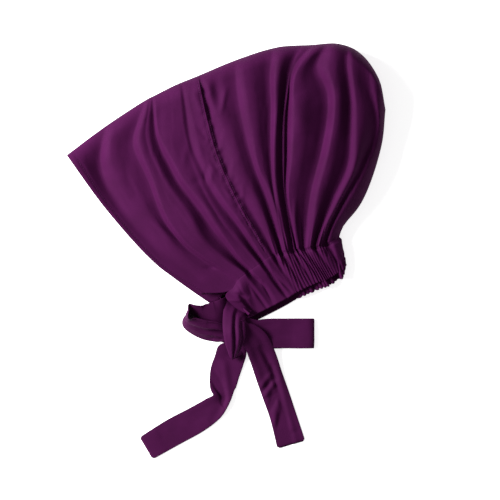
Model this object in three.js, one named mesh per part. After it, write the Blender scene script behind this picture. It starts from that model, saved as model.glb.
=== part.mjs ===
// A tie-back underscarf cap, lying on its side on a table, seen from above along -Z.
// The cap is one pouch of cloth: a face panel and a gathered back panel meet at a
// seam, a ruched casing draws them in at the nape, and two ties end in a bow.
// Each sewn piece is a wall of cloth that runs over the upper side of the lying
// cap, round the crown fold, and back along the table side.
import * as THREE from "three";
import { mergeVertices } from "three/addons/utils/BufferGeometryUtils.js";

// A table with named columns.
const table = (names, rows) =>
  rows.map((row) => Object.fromEntries(names.map((name, k) => [name, row[k]])));

// Driving dimensions, in millimetres.
const CAP_LENGTH = 350; // from the top corner of the face edge to the back of the pouch
const CAP_HEIGHT = 310; // from the top of the crown to the lowest edge of the casing
const CAP_PUFF = 44; // the upper side's greatest height above the table
const CLOTH_WALL = 2; // the doubled cloth of the panels, measured straight down
const CASING_WALL = 3.6; // two layers of cloth with the elastic between them
const CASING_SHIFT = 7; // how far the table side's casing shows past the upper one
const CORNER_SHIFT = 19; // the same at the corner where the face edge meets the nape
const RUCHE_HEIGHT = 1.9; // of the small pleats that the elastic draws up
const TIE_WIDTH = 33;
const TIE_WALL = 1.6;
const BOW_REACH = 110; // the length that the bow's route is laid out in
const KNOT_HEIGHT = 30;
const GAP = 0.35; // between two pieces that are sewn to each other
const FOLD_RISE = 8; // the height that the fold table is laid out in

// Where things lie along the casing, from 0 at the face edge to 1 at the centre back.
const SEAM_AT = 0.45;
const BACK_TURN = 0.07; // the share of the way in which the cloth turns to the table side
const CROWN_TURN = 0.075; // the same at the crown, as a share of a fold's length
const RUCHE_FADE = 0.16; // how far up a fold the ruches reach
const CORNER_FADE = 0.3; // how far up the face edge the table side shows past the upper one
const FOLD_FADE = 0.15; // the length over which a fold comes up or dies away
const DRAWN_IN = 0.55; // what is left of a fold's height at the casing
const DRAWN_IN_FADE = 0.3; // how far up a fold it has its whole height

// How finely the walls are divided.
const FACE_STEPS = 14;
const BACK_STEPS = 40;
const TURN_STEPS = 5;
const RISE_STEPS = 9;
const CASING_FROM_STEP = 4; // the face panel's step at which the casing begins
const CASING_FROM = (SEAM_AT * CASING_FROM_STEP) / FACE_STEPS;
const BACK_PLEATS = 11;
const FACE_PLEATS = 3;

// The lines along which the cloth falls into folds, from the casing to the crown.
// x and y are shares of the cap's length and height, from the crown's top left.
// Rises are shares of the puff, and so are the heights of the crown fold.
const SECTION_COLUMNS = ["at", "rimX", "rimY", "lowX", "lowY", "highX", "highY", "crownX", "crownY",
  "footX", "footY", "rimRise", "lowRise", "highRise", "rimFold", "crownFold"];
const SECTIONS = table(SECTION_COLUMNS, [
  [0.0, 0.418, 0.885, 0.283, 0.787, 0.129, 0.597, 0.0, 0.398, 0.5, 0.984, 0.22, 0.3, 0.27, 0.09, 0.09],
  [0.1, 0.509, 0.875, 0.327, 0.71, 0.195, 0.508, 0.119, 0.298, 0.552, 0.98, 0.28, 0.36, 0.34, 0.1, 0.1],
  [0.18, 0.535, 0.838, 0.358, 0.682, 0.258, 0.48, 0.233, 0.213, 0.582, 0.97, 0.33, 0.43, 0.4, 0.11, 0.12],
  [0.27, 0.566, 0.81, 0.415, 0.65, 0.308, 0.437, 0.286, 0.181, 0.613, 0.952, 0.37, 0.5, 0.46, 0.13, 0.14],
  [0.35, 0.597, 0.785, 0.469, 0.607, 0.368, 0.398, 0.343, 0.149, 0.645, 0.934, 0.41, 0.57, 0.53, 0.14, 0.16],
  [0.45, 0.632, 0.757, 0.531, 0.558, 0.459, 0.366, 0.409, 0.119, 0.692, 0.906, 0.44, 0.64, 0.61, 0.16, 0.19],
  [0.56, 0.67, 0.739, 0.616, 0.497, 0.569, 0.288, 0.538, 0.059, 0.739, 0.874, 0.46, 0.7, 0.7, 0.18, 0.22],
  [0.66, 0.708, 0.732, 0.66, 0.487, 0.657, 0.238, 0.664, 0.016, 0.78, 0.853, 0.48, 0.75, 0.77, 0.19, 0.25],
  [0.72, 0.726, 0.728, 0.692, 0.458, 0.698, 0.202, 0.764, 0.009, 0.802, 0.842, 0.48, 0.77, 0.82, 0.19, 0.27],
  [0.8, 0.758, 0.725, 0.786, 0.444, 0.83, 0.192, 0.852, 0.005, 0.827, 0.831, 0.48, 0.86, 0.95, 0.2, 0.3],
  [0.9, 0.802, 0.714, 0.868, 0.487, 0.912, 0.245, 0.928, 0.046, 0.855, 0.813, 0.46, 0.8, 0.92, 0.2, 0.31],
  [0.96, 0.836, 0.7, 0.918, 0.497, 0.965, 0.284, 0.981, 0.135, 0.871, 0.799, 0.43, 0.72, 0.84, 0.2, 0.31],
  [1.0, 0.862, 0.689, 0.94, 0.533, 0.987, 0.369, 1.0, 0.238, 0.876, 0.782, 0.41, 0.66, 0.76, 0.2, 0.3],
]);

// One row for each fold of the upper side. It lies at a place along the casing,
// leans over by the crown, has a half width along the casing and a rise (a valley
// where negative), and runs between two shares of the way up to the crown.
const FOLDS = table(["place", "lean", "half", "rise", "from", "to"], [
  [0.06, 0.0, 0.04, -0.25, 0.55, 0.95],
  [0.115, 0.0, 0.035, 0.35, 0.6, 0.96],
  [0.15, 0.0, 0.03, -0.35, 0.3, 1.0],
  [0.185, 0.0, 0.035, 0.55, 0.1, 1.0],
  [0.265, 0.0, 0.045, -0.85, 0.0, 0.9],
  [0.33, -0.01, 0.035, 0.55, 0.0, 0.9],
  [0.38, 0.0, 0.025, -0.4, 0.4, 1.0],
  [0.42, 0.0, 0.022, 0.3, 0.1, 1.0],
  [0.475, 0.0, 0.018, -0.4, 0.05, 1.0],
  [0.51, 0.0, 0.025, 0.4, 0.2, 0.9],
  [0.54, 0.0, 0.022, -0.4, 0.1, 1.0],
  [0.575, 0.0, 0.03, 0.6, 0.0, 1.0],
  [0.62, 0.0, 0.03, -0.8, 0.0, 1.0],
  [0.66, 0.005, 0.025, 0.6, 0.0, 1.0],
  [0.7, 0.0, 0.02, -0.8, 0.05, 1.0],
  [0.73, 0.0, 0.022, 0.5, 0.1, 1.0],
  [0.768, 0.0, 0.03, -0.85, 0.05, 0.95],
  [0.812, 0.0, 0.028, 0.65, 0.0, 1.0],
  [0.858, 0.0, 0.03, -0.85, 0.05, 0.95],
  [0.903, 0.0, 0.025, 0.65, 0.0, 0.95],
  [0.942, 0.0, 0.025, -0.7, 0.0, 0.9],
]);

// The routes of the two ties through the bow, on from where they leave the casing.
// x and y are shares of the bow's reach from the middle of the knot, z is a share of
// the knot's height, and wide is a share of the tie's width. The width points at
// heading, in plan, and is tipped up by tip, both in degrees. crease is how far the
// middle sinks, in millimetres.
const TIE_COLUMNS = ["x", "y", "z", "wide", "heading", "tip", "crease"];
const LEFT_LOOP_TIE = table(TIE_COLUMNS, [
  [-0.045, 0.185, 0.16, 0.74, 106, 12, 0.5],
  [-0.11, 0.165, 0.32, 0.72, 98, 36, 1],
  [-0.2, 0.16, 0.42, 0.8, 92, 48, 1],
  [-0.33, 0.165, 0.44, 0.88, 90, 52, 0],
  [-0.45, 0.165, 0.45, 0.88, 70, 72, 0],
  [-0.505, 0.1, 0.45, 0.86, 20, 80, 0],
  [-0.46, 0.035, 0.43, 0.86, 66, 62, 0],
  [-0.34, 0.0, 0.41, 0.88, 80, 50, 0],
  [-0.21, -0.02, 0.38, 0.82, 84, 48, 1],
  [-0.11, -0.05, 0.32, 0.62, 76, 44, 1],
  [-0.06, -0.12, 0.22, 0.54, 34, 22, 1],
  [-0.075, -0.21, 0.14, 0.74, 0, 6, 1],
  [-0.085, -0.32, 0.06, 0.96, -8, 0, 0.6],
  [-0.12, -0.44, 0.045, 1.0, -12, 0, 0],
  [-0.143, -0.58, 0.05, 0.9, -8, 0, 0.6],
  [-0.16, -0.7, 0.08, 0.7, -28, 0, 1.4],
  [-0.24, -0.8, 0.06, 0.8, -52, 0, 1],
  [-0.4, -0.91, 0.035, 0.9, -62, 0, 0.3],
  [-0.64, -1.04, 0.03, 0.92, -60, 0, 0],
  [-0.91, -1.2, 0.03, 0.86, -52, 0, 0],
]);
const RIGHT_LOOP_TIE = table(TIE_COLUMNS, [
  [-0.035, 0.235, 0.6, 0.84, -48, 0, 0.6],
  [-0.04, 0.16, 0.82, 0.74, -16, 0, 1.8],
  [-0.025, 0.05, 0.92, 0.7, 0, 0, 2.6],
  [-0.015, -0.06, 0.9, 0.68, 2, 0, 2.6],
  [0.03, -0.14, 0.8, 0.56, 8, 0, 2],
  [0.09, -0.175, 0.58, 0.48, 10, 0, 1.2],
  [0.15, -0.175, 0.3, 0.46, -30, 0, 0.6],
  [0.195, -0.14, 0.13, 0.6, -62, 0, 0.2],
  [0.26, -0.09, 0.05, 0.78, -82, 0, 0],
  [0.36, -0.055, 0.035, 0.92, -90, 0, 0],
  [0.56, -0.05, 0.03, 1.0, -90, 0, 0],
  [0.72, -0.05, 0.03, 1.0, -90, 0, 0],
  [0.765, -0.05, 0.11, 1.0, -90, 0, 0],
  [0.72, -0.05, 0.21, 1.0, -90, 0, 0],
  [0.54, -0.05, 0.22, 1.0, -90, 0, 0],
  [0.37, -0.045, 0.3, 0.92, -92, 0, 0.3],
  [0.26, -0.02, 0.42, 0.74, -104, 0, 1],
  [0.19, -0.04, 0.5, 0.62, -150, 0, 1.4],
  [0.19, -0.15, 0.48, 0.7, -174, 0, 1.2],
  [0.25, -0.3, 0.34, 0.8, -168, 0, 1],
  [0.315, -0.46, 0.14, 0.86, -164, 0, 1],
  [0.385, -0.66, 0.05, 0.88, -163, 0, 1],
  [0.46, -0.88, 0.035, 0.88, -164, 0, 1],
  [0.54, -1.17, 0.035, 0.9, -160, 0, 0.8],
]);
const KNOT_AT = { x: 0.535, y: 1.012 }; // shares of the cap's length and height
const ROOT_SHARE = 0.94; // how much of the casing's width a tie begins with
const TIE_STEPS_PER_ROW = 2;
const TIE_COLUMNS_ACROSS = 4;

const clamp01 = (value) => Math.min(1, Math.max(0, value));
const smooth = (value) => clamp01(value) ** 2 * (3 - 2 * clamp01(value));

// A smooth curve through the values at the knots, with the slope at each knot taken
// from its neighbours.
function curveThrough(knots, values, at) {
  let k = 0;
  while (k < knots.length - 2 && at > knots[k + 1]) k += 1;
  const slope = (i) => {
    const before = Math.max(i - 1, 0);
    const after = Math.min(i + 1, knots.length - 1);
    return (values[after] - values[before]) / (knots[after] - knots[before]);
  };
  const span = knots[k + 1] - knots[k];
  const t = clamp01((at - knots[k]) / span);
  const rise = t * t * (3 - 2 * t);
  return values[k] * (1 - rise) + values[k + 1] * rise +
    span * (slope(k) * t * (1 - t) ** 2 - slope(k + 1) * t * t * (1 - t));
}

// Everything that the section table says at one place along the casing.
const sectionPlaces = SECTIONS.map((row) => row.at);
const sectionCache = new Map();
function sectionAt(at) {
  if (!sectionCache.has(at)) {
    const value = (name) => curveThrough(sectionPlaces, SECTIONS.map((row) => row[name]), at);
    sectionCache.set(at, Object.fromEntries(SECTION_COLUMNS.map((name) => [name, value(name)])));
  }
  return sectionCache.get(at);
}

const FOLD_KNOTS = [0, 1 / 3, 2 / 3, 1];
const alongFold = (values, way) => curveThrough(FOLD_KNOTS, values, way);

// The place in plan at a share of the way along the casing and up a fold. Below 0
// the way runs down across the casing, to its foot at -1.
function planPoint(at, way, layer) {
  const s = sectionAt(at);
  if (way < 0) {
    const shift = layer < 0 ? CASING_SHIFT * smooth((1 - at) / BACK_TURN) : 0;
    return new THREE.Vector2(
      CAP_LENGTH * THREE.MathUtils.lerp(s.rimX, s.footX, -way),
      -CAP_HEIGHT * THREE.MathUtils.lerp(s.rimY, s.footY, -way) + shift * way);
  }
  const nearCorner = smooth(1 - at / CASING_FROM) * smooth(1 - way / CORNER_FADE);
  const shift = layer < 0 ? CORNER_SHIFT * nearCorner * Math.SQRT1_2 : 0;
  return new THREE.Vector2(
    CAP_LENGTH * alongFold([s.rimX, s.lowX, s.highX, s.crownX], way) + shift,
    -CAP_HEIGHT * alongFold([s.rimY, s.lowY, s.highY, s.crownY], way) - shift);
}

// Unit steps in plan towards the centre back and towards the crown.
const TINY = 1e-3;
function planSteps(at, way, layer) {
  const along = planPoint(Math.min(at + TINY, 1), way, layer)
    .sub(planPoint(Math.max(at - TINY, 0), way, layer)).normalize();
  const [low, high] = way < 0 ? [-1, -TINY] : [0, 1];
  const up = planPoint(at, Math.min(way + TINY, high), layer)
    .sub(planPoint(at, Math.max(way - TINY, low), layer)).normalize();
  return { along, up };
}

// The small pleats at the casing: fine ones where the elastic runs, wide ones
// across the face panel.
function rucheWave(at) {
  if (at <= CASING_FROM) return 0;
  if (at < SEAM_AT) {
    return 0.5 * Math.sin(2 * Math.PI * FACE_PLEATS * (at - CASING_FROM) / (SEAM_AT - CASING_FROM));
  }
  return Math.sin(2 * Math.PI * BACK_PLEATS * (at - SEAM_AT) / (1 - SEAM_AT));
}

function foldHeight(at, way) {
  let height = 0;
  for (const { place, lean, half, rise, from, to } of FOLDS) {
    const off = (at - place - lean * way) / half;
    if (Math.abs(off) < 1) {
      const begun = from > 0 ? smooth((way - from) / FOLD_FADE) : 1;
      const left = to < 1 ? smooth((to - way) / FOLD_FADE) : 1;
      height += rise * begun * left * Math.cos((off * Math.PI) / 2) ** 2;
    }
  }
  const drawnIn = THREE.MathUtils.lerp(DRAWN_IN, 1, smooth(way / DRAWN_IN_FADE));
  return FOLD_RISE * height * drawnIn;
}

// A point on one side of a wall. layer is 1 on the upper side and -1 on the table
// side, and inset is how deep it lies in the cloth, 0 at the outside.
function wallPoint(at, way, layer, inset) {
  const s = sectionAt(at);
  const { along, up } = planSteps(at, way, layer);
  const wayUp = clamp01(way);
  const overBack = clamp01((at - 1 + BACK_TURN) / BACK_TURN);
  const overCrown = clamp01((way - 1 + CROWN_TURN) / CROWN_TURN);
  const spread = Math.sqrt(1 - overBack ** 2) * Math.sqrt(1 - overCrown ** 2);
  const fold = CAP_PUFF * THREE.MathUtils.lerp(s.rimFold, s.crownFold, wayUp);
  const nearRim = 1 - smooth(way / RUCHE_FADE);
  const ruche = RUCHE_HEIGHT * rucheWave(at) * nearRim;
  const place = planPoint(at, way, layer)
    .addScaledVector(along, ruche * (1 - spread) - inset * overBack)
    .addScaledVector(up, -inset * overCrown);
  if (layer > 0) {
    const rise = CAP_PUFF * alongFold([s.rimRise, s.lowRise, s.highRise, s.highRise], wayUp);
    const outside = rise + foldHeight(at, wayUp) + ruche;
    return new THREE.Vector3(place.x, place.y, fold + (outside - inset - fold) * spread);
  }
  const elastic = smooth((at - SEAM_AT) / BACK_TURN);
  const raised = ((RUCHE_HEIGHT * nearRim + ruche) / 2) * elastic;
  return new THREE.Vector3(place.x, place.y, fold - (fold - inset - raised) * spread);
}

// A closed wall between an outer and an inner grid of points, where a step along i
// and then along j turns to the left as seen from outside. Where the last column
// folds onto itself, its two halves meet and it needs no edge.
function wallGeometry(outer, inner, lastColumnMeets = false) {
  const corners = [];
  const quad = (a, b, c, d) => corners.push(a, b, c, a, c, d);
  const last = outer.length - 1;
  const top = outer[0].length - 1;
  for (let i = 0; i < last; i += 1) {
    for (let j = 0; j < top; j += 1) {
      quad(outer[i][j], outer[i + 1][j], outer[i + 1][j + 1], outer[i][j + 1]);
      quad(inner[i][j], inner[i][j + 1], inner[i + 1][j + 1], inner[i + 1][j]);
    }
    quad(outer[i][0], inner[i][0], inner[i + 1][0], outer[i + 1][0]);
    quad(outer[i][top], outer[i + 1][top], inner[i + 1][top], inner[i][top]);
  }
  for (let j = 0; j < top; j += 1) {
    quad(outer[0][j], outer[0][j + 1], inner[0][j + 1], inner[0][j]);
    if (!lastColumnMeets) {
      quad(outer[last][j], inner[last][j], inner[last][j + 1], outer[last][j + 1]);
    }
  }
  const geometry = mergeVertices(new THREE.BufferGeometry().setFromPoints(corners), 1e-3);
  geometry.computeVertexNormals();
  return geometry;
}

const evenSteps = (from, to, count) =>
  Array.from({ length: count + 1 }, (_, k) => THREE.MathUtils.lerp(from, to, k / count));

// Steps that crowd together where the cloth turns over, so that the turn is round.
function stepsIntoTurn(from, turn, count) {
  const flat = evenSteps(from, 1 - turn, count);
  const round = evenSteps(0, Math.PI / 2, TURN_STEPS).slice(1);
  return [...flat, ...round.map((angle) => 1 - turn + turn * Math.sin(angle))];
}

const faceSteps = evenSteps(0, SEAM_AT, FACE_STEPS);
const backSteps = stepsIntoTurn(SEAM_AT, BACK_TURN, BACK_STEPS);
const waySteps = stepsIntoTurn(0, CROWN_TURN, RISE_STEPS);
const CASING_WAYS = [-1, -2 / 3, -1 / 3, -TINY];

// Moves a point level with the table, to leave half a gap beside it.
const moveAside = (point, way, distance) =>
  point.addScaledVector(new THREE.Vector3(way.x, way.y, 0), distance);

// A panel runs up the upper side from the casing, over the crown and back along the
// table side. seamSide is 1 for the panel behind the seam and -1 for the one before it.
function panelGrid(steps, inset, seamSide) {
  const upper = waySteps.map((way) => [way, 1]);
  const lower = waySteps.slice(0, -1).reverse().map((way) => [way, -1]);
  return steps.map((at) =>
    [...upper, ...lower].map(([way, layer]) => {
      const point = wallPoint(at, way, layer, inset);
      const { along, up } = planSteps(at, way, layer);
      if (at === SEAM_AT) moveAside(point, along, (seamSide * GAP) / 2);
      if (way === 0) moveAside(point, up, GAP / 2);
      return point;
    }),
  );
}

// The casing follows the panels' rim along the upper side, turns at the centre back
// and returns along the table side.
function casingGrid(inset) {
  const steps = [...faceSteps.slice(CASING_FROM_STEP), ...backSteps.slice(1)];
  const upper = steps.map((at) => [at, 1]);
  const lower = steps.slice(0, -1).reverse().map((at) => [at, -1]);
  return [...upper, ...lower].map(([at, layer]) =>
    CASING_WAYS.map((way) => {
      const point = wallPoint(at, way, layer, inset);
      if (way === -TINY) moveAside(point, planSteps(at, way, layer).up, -GAP / 2);
      return point;
    }),
  );
}

// How a tie leaves the casing on its own side: its middle, level with the middle of
// the casing's wall, the way that it sets off, and the first row of its route.
function tieRoot(layer, knot) {
  const rim = wallPoint(CASING_FROM, -TINY, layer, CASING_WALL / 2);
  const foot = wallPoint(CASING_FROM, -1, layer, CASING_WALL / 2);
  const onward = new THREE.Vector3(foot.y - rim.y, rim.x - foot.x, 0).normalize();
  const across = layer > 0 ? foot.clone().sub(rim) : rim.clone().sub(foot);
  const centre = rim.clone().lerp(foot, 0.5).addScaledVector(onward, GAP).sub(knot);
  const heading = Math.atan2(across.y, across.x);
  const tip = Math.asin(across.z / across.length());
  const row = {
    x: centre.x / BOW_REACH,
    y: centre.y / BOW_REACH,
    z: centre.z / KNOT_HEIGHT,
    wide: (ROOT_SHARE * across.length()) / TIE_WIDTH,
    heading: THREE.MathUtils.radToDeg(heading),
    tip: THREE.MathUtils.radToDeg(tip),
    crease: 0,
  };
  return { onward, row };
}

// A flat tie swept along its route, as the outer and inner face of its wall. The
// wall never sinks into the table.
function tieGrids(layer, route) {
  const knot = new THREE.Vector3(KNOT_AT.x * CAP_LENGTH, -KNOT_AT.y * CAP_HEIGHT, 0);
  const root = tieRoot(layer, knot);
  const rows = [root.row, ...route];
  const knots = rows.map((_, k) => k);
  const last = rows.length - 1;
  const value = (name, k) => curveThrough(knots, rows.map((row) => row[name]), k);
  const place = (k) => {
    const shares = new THREE.Vector3(value("x", k), value("y", k), value("z", k));
    return shares.multiply(new THREE.Vector3(BOW_REACH, BOW_REACH, KNOT_HEIGHT)).add(knot);
  };
  const ring = (k) => {
    const ahead = place(Math.min(k + TINY, last));
    const onward = k > 0 ? ahead.sub(place(k - TINY)).normalize() : root.onward;
    const heading = THREE.MathUtils.degToRad(value("heading", k));
    const tip = THREE.MathUtils.degToRad(value("tip", k));
    const wide = new THREE.Vector3(Math.cos(heading), Math.sin(heading), Math.tan(tip));
    wide.addScaledVector(onward, -wide.dot(onward)).normalize();
    const outward = onward.clone().cross(wide);
    const half = (TIE_WIDTH / 2) * value("wide", k);
    return evenSteps(-1, 1, TIE_COLUMNS_ACROSS).map((share) => {
      const sink = (value("crease", k) / 2) * Math.cos(share * Math.PI);
      const middle = place(k).addScaledVector(wide, share * half).addScaledVector(outward, -sink);
      return [1, -1].map((side) => {
        const point = middle.clone().addScaledVector(outward, (side * TIE_WALL) / 2);
        const lowest = side * outward.z > 0 ? TIE_WALL : 0;
        return point.setZ(Math.max(point.z, lowest));
      });
    });
  };
  const rings = evenSteps(0, last, last * TIE_STEPS_PER_ROW).map(ring);
  return [0, 1].map((side) => rings.map((points) => points.map((pair) => pair[side])));
}

const viscose = (colour) =>
  new THREE.MeshStandardMaterial({ color: colour, roughness: 0.55, metalness: 0 });
const panelCloth = viscose(0x5a1f5c);
const casingCloth = viscose(0x521c54);
const tieCloth = viscose(0x561d58);

const cap = new THREE.Group();
function addPiece(name, geometry, material) {
  const mesh = new THREE.Mesh(geometry, material);
  mesh.name = name;
  cap.add(mesh);
}

function addFacePanel() {
  const outer = panelGrid(faceSteps, 0, -1);
  const inner = panelGrid(faceSteps, CLOTH_WALL, -1);
  addPiece("face_panel", wallGeometry(outer, inner), panelCloth);
}

function addBackPanel() {
  const outer = panelGrid(backSteps, 0, 1);
  const inner = panelGrid(backSteps, CLOTH_WALL, 1);
  addPiece("back_panel", wallGeometry(outer, inner, true), panelCloth);
}

function addNapeCasing() {
  addPiece("nape_casing", wallGeometry(casingGrid(0), casingGrid(CASING_WALL)), casingCloth);
}

function addTies() {
  addPiece("left_loop_tie", wallGeometry(...tieGrids(-1, LEFT_LOOP_TIE)), tieCloth);
  addPiece("right_loop_tie", wallGeometry(...tieGrids(1, RIGHT_LOOP_TIE)), tieCloth);
}

addFacePanel();
addBackPanel();
addNapeCasing();
addTies();

// The origin is on the table, below the middle of the whole cap.
const size = new THREE.Box3().setFromObject(cap);
const middle = size.getCenter(new THREE.Vector3());
cap.position.set(-middle.x, -middle.y, -size.min.z);

export default cap;
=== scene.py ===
import math

import bpy
import numpy as np
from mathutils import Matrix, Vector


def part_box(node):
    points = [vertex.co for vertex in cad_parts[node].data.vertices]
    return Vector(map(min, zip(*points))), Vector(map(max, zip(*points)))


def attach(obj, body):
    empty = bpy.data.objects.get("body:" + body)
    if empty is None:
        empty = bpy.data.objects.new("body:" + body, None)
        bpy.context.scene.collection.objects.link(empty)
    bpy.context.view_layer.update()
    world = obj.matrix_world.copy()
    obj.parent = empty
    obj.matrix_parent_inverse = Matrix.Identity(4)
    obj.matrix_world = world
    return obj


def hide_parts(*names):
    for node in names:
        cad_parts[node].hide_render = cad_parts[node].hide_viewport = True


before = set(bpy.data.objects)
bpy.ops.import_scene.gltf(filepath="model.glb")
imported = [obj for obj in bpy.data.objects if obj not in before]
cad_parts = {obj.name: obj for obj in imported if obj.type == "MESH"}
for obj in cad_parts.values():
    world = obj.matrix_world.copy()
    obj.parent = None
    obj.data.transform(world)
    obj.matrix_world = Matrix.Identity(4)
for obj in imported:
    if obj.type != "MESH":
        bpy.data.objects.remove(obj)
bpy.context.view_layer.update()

MM = 0.001
CAP_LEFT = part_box("face_panel")[0].x
BACK_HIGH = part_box("back_panel")[1]
CAP_LENGTH = BACK_HIGH.x - CAP_LEFT
CAP_HEIGHT = 310 * MM
CAP_PUFF = 44 * MM
TOP_SHARE = 0.0045  # how far below the sections' zero line the crown's highest point is
CAP_TOP = BACK_HIGH.y + TOP_SHARE * CAP_HEIGHT

CLOTH_THICKNESS = 0.8 * MM
TABLE_GAP = 0.6 * MM  # the least height of a panel's outer side above the table
CASING_SHIFT = 7 * MM  # how far the casing's foot lies lower on the table side
CORNER_SHIFT = 19 * MM  # and how far the face edge's corner lies further in there
TIE_WIDTH = 33 * MM
TIE_THICKNESS = 1.6 * MM
BOW_REACH = 110 * MM
KNOT_HEIGHT = 30 * MM

# Places along the casing run from 0 at the face edge to 1 at the centre back. Ways up the
# cloth run from -1 at the casing's foot over 0 at its top to 1 at the crown.
SEAM_AT = 0.45
CASING_FROM = SEAM_AT * 4 / 14
ELASTIC_AT = 0.48
ELASTIC_EASE = 0.05  # how soon the elastic's pull is at its full
BACK_TURN = 0.07  # how far before the centre back and the crown the cloth starts to turn over
CROWN_TURN = 0.075
CORNER_FADE = 0.3
PINCH = 5 * MM  # how far the casing draws the centre back in above itself
PINCH_FROM = 0.86
PINCH_WAY = 0.08
PINCH_SPREAD = 0.1

# The lines along which the cloth falls, from the casing to the crown, as in the
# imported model: x and y are shares of the cap's length and height from its top left,
# and rises and folds are shares of the puff.
SECTION_COLUMNS = ["at", "rim_x", "rim_y", "low_x", "low_y", "high_x", "high_y", "crown_x", "crown_y",
                   "foot_x", "foot_y", "rim_rise", "low_rise", "high_rise", "rim_fold", "crown_fold"]
SECTIONS = np.array([
    [0.0, 0.418, 0.885, 0.283, 0.787, 0.129, 0.597, 0.0, 0.398, 0.5, 0.984, 0.22, 0.3, 0.27, 0.09, 0.09],
    [0.1, 0.509, 0.875, 0.327, 0.71, 0.195, 0.508, 0.119, 0.298, 0.552, 0.98, 0.28, 0.36, 0.34, 0.1, 0.1],
    [0.18, 0.535, 0.838, 0.358, 0.682, 0.258, 0.48, 0.233, 0.213, 0.582, 0.97, 0.33, 0.43, 0.4, 0.11, 0.12],
    [0.27, 0.566, 0.81, 0.415, 0.65, 0.308, 0.437, 0.286, 0.181, 0.613, 0.952, 0.37, 0.5, 0.46, 0.13, 0.14],
    [0.35, 0.597, 0.785, 0.469, 0.607, 0.368, 0.398, 0.343, 0.149, 0.645, 0.934, 0.41, 0.57, 0.53, 0.14, 0.16],
    [0.45, 0.632, 0.757, 0.531, 0.558, 0.459, 0.366, 0.409, 0.119, 0.692, 0.906, 0.44, 0.64, 0.61, 0.16, 0.19],
    [0.56, 0.67, 0.739, 0.616, 0.497, 0.569, 0.288, 0.538, 0.059, 0.739, 0.874, 0.46, 0.7, 0.7, 0.18, 0.22],
    [0.66, 0.708, 0.732, 0.66, 0.487, 0.657, 0.238, 0.664, 0.016, 0.78, 0.853, 0.48, 0.75, 0.77, 0.19, 0.25],
    [0.72, 0.726, 0.728, 0.692, 0.458, 0.698, 0.202, 0.764, 0.009, 0.802, 0.842, 0.48, 0.77, 0.82, 0.19, 0.27],
    [0.8, 0.758, 0.725, 0.786, 0.444, 0.83, 0.192, 0.852, 0.005, 0.827, 0.831, 0.48, 0.86, 0.95, 0.2, 0.3],
    [0.9, 0.802, 0.714, 0.868, 0.487, 0.912, 0.245, 0.928, 0.046, 0.855, 0.813, 0.46, 0.8, 0.92, 0.2, 0.31],
    [0.96, 0.836, 0.7, 0.918, 0.497, 0.965, 0.284, 0.981, 0.135, 0.871, 0.799, 0.43, 0.72, 0.84, 0.2, 0.31],
    [1.0, 0.862, 0.689, 0.94, 0.533, 0.987, 0.369, 1.0, 0.238, 0.876, 0.782, 0.41, 0.66, 0.76, 0.2, 0.3],
])

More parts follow.
